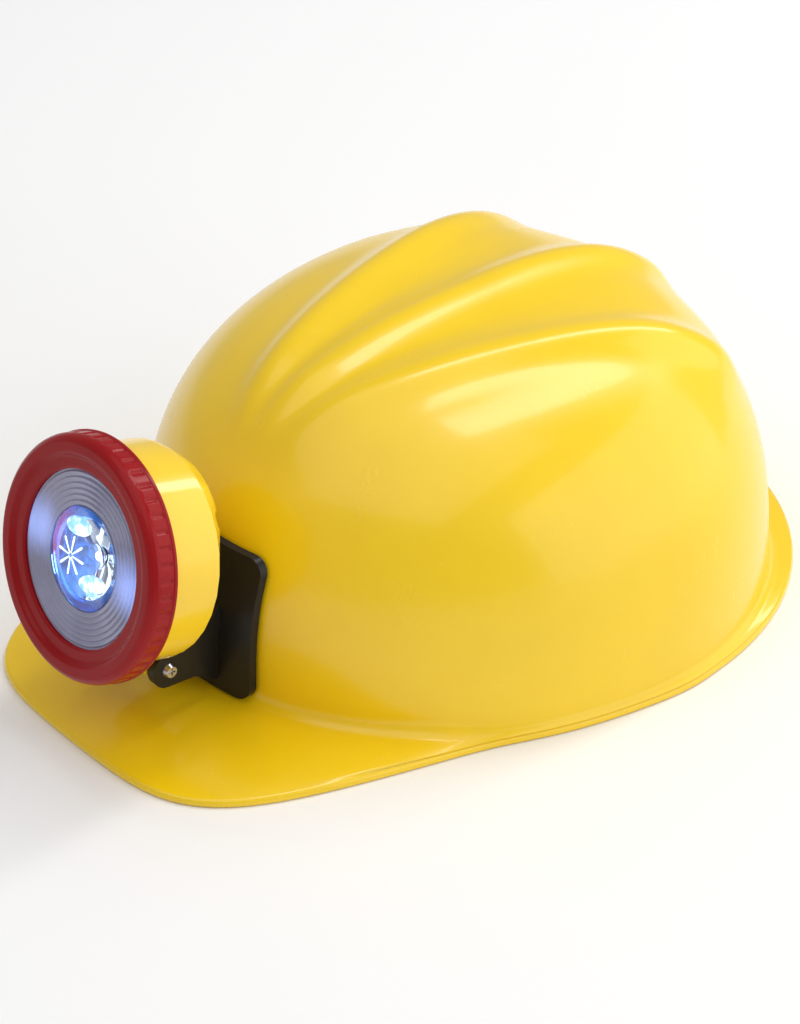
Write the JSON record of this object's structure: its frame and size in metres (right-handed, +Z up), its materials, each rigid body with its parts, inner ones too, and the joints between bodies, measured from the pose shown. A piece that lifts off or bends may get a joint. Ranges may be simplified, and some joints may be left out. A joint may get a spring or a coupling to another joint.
{
  "type": "miner's cap lamp",
  "caption": "Miner's cap with a peaked, ribbed shell, an inner head harness and a round tilting lamp with a turning bezel on a front bracket.",
  "frame": {"origin": "on the rim plane, below the middle of the overall box", "axes": "+Z up out of the crown, -Y out of the lamp, +X to the wearer's left"},
  "size_m": [0.2034, 0.2747, 0.1057],
  "materials": {
    "shell_yellow": "glossy injection-moulded plastic",
    "lamp_yellow": "glossy injection-moulded plastic",
    "bezel_red": "glossy moulded plastic",
    "bracket_black": "satin moulded plastic",
    "lens_clear": "clear moulded lens with fine rings",
    "guide_clear": "clear moulded plastic",
    "reflector_chrome": "vacuum-metallised plastic",
    "steel": "zinc-plated steel",
    "seal_rubber": "soft black rubber",
    "nylon": "natural nylon",
    "led_white": "lit white diode",
    "board_green": "solder-masked board",
    "cell_wrap": "printed metal wrap without lettering",
    "contact_brass": "spring brass",
    "harness_plastic": "flexible moulded plastic",
    "peg_plastic": "moulded plastic",
    "brow_pad": "stitched foam-backed cloth",
    "webbing": "woven webbing"
  },
  "bodies": {
    "cap": {"helmet_shell": "shell_yellow", "headband": "harness_plastic", "nape_strap": "harness_plastic", "nape_pegs": "peg_plastic", "sweatband": "brow_pad", "crown_strap_left": "webbing", "crown_strap_right": "webbing", "clip_1": "harness_plastic", "clip_2": "harness_plastic", "clip_3": "harness_plastic", "clip_4": "harness_plastic", "bracket": "bracket_black", "bracket_pad": "seal_rubber", "bracket_screws": "steel", "bracket_washers": "steel", "bracket_nuts": "steel", "hinge_screw": "steel", "hinge_nut": "steel", "friction_washers": "nylon"},
    "lamp": {"lamp_housing": "lamp_yellow", "rear_cover": "lamp_yellow", "cover_seal": "seal_rubber", "cover_screws": "steel", "reflector": "reflector_chrome", "light_guide": "guide_clear", "led_board": "board_green", "led": "led_white", "board_screws": "steel", "battery_tray": "bracket_black", "battery_1": "cell_wrap", "battery_2": "cell_wrap", "contact_springs": "steel", "contact_plates": "contact_brass", "switch_contact": "contact_brass"},
    "bezel": {"bezel_ring": "bezel_red", "lens": "lens_clear", "lens_seal": "seal_rubber"}
  },
  "joints": [
    {"name": "lamp_tilt", "type": "hinge", "parent": "cap", "child": "lamp", "pos_m": [0, -0.10364, 0.022], "axis": [1, 0, 0], "range_deg": [-12, 38]},
    {"name": "bezel_turn", "type": "hinge", "parent": "lamp", "child": "bezel", "pos_m": [0, -0.12784, 0.06689], "axis": [0, -0.9659, 0.2588], "range_deg": [0, 60]}
  ]
}
